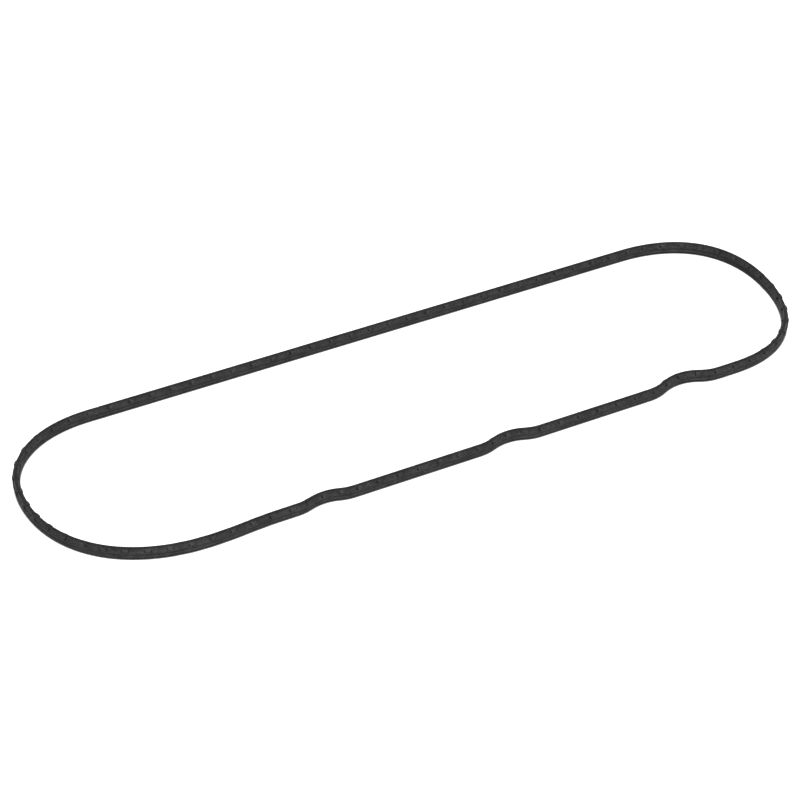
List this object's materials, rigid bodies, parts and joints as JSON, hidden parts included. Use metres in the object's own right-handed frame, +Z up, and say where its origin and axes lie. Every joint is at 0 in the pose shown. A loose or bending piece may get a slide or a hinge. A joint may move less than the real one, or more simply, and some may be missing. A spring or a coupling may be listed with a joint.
{
  "type": "valve cover gasket",
  "caption": "Moulded rubber perimeter seal for a valve cover: a long loop with a straight side, a notched side, round ends and a ribbed, nubbed section.",
  "frame": {"origin": "middle of the loop's outer box, on the plane of the sealing foot", "axes": "+X along the loop, +Y towards the straight side, +Z up out of the sealing foot to the rib that presses into the cover's groove"},
  "size_m": [0.4678, 0.1297, 0.0069],
  "materials": {
    "black_rubber": "satin"
  },
  "bodies": {
    "root": {"rubber_seal": "black_rubber"}
  },
  "joints": []
}
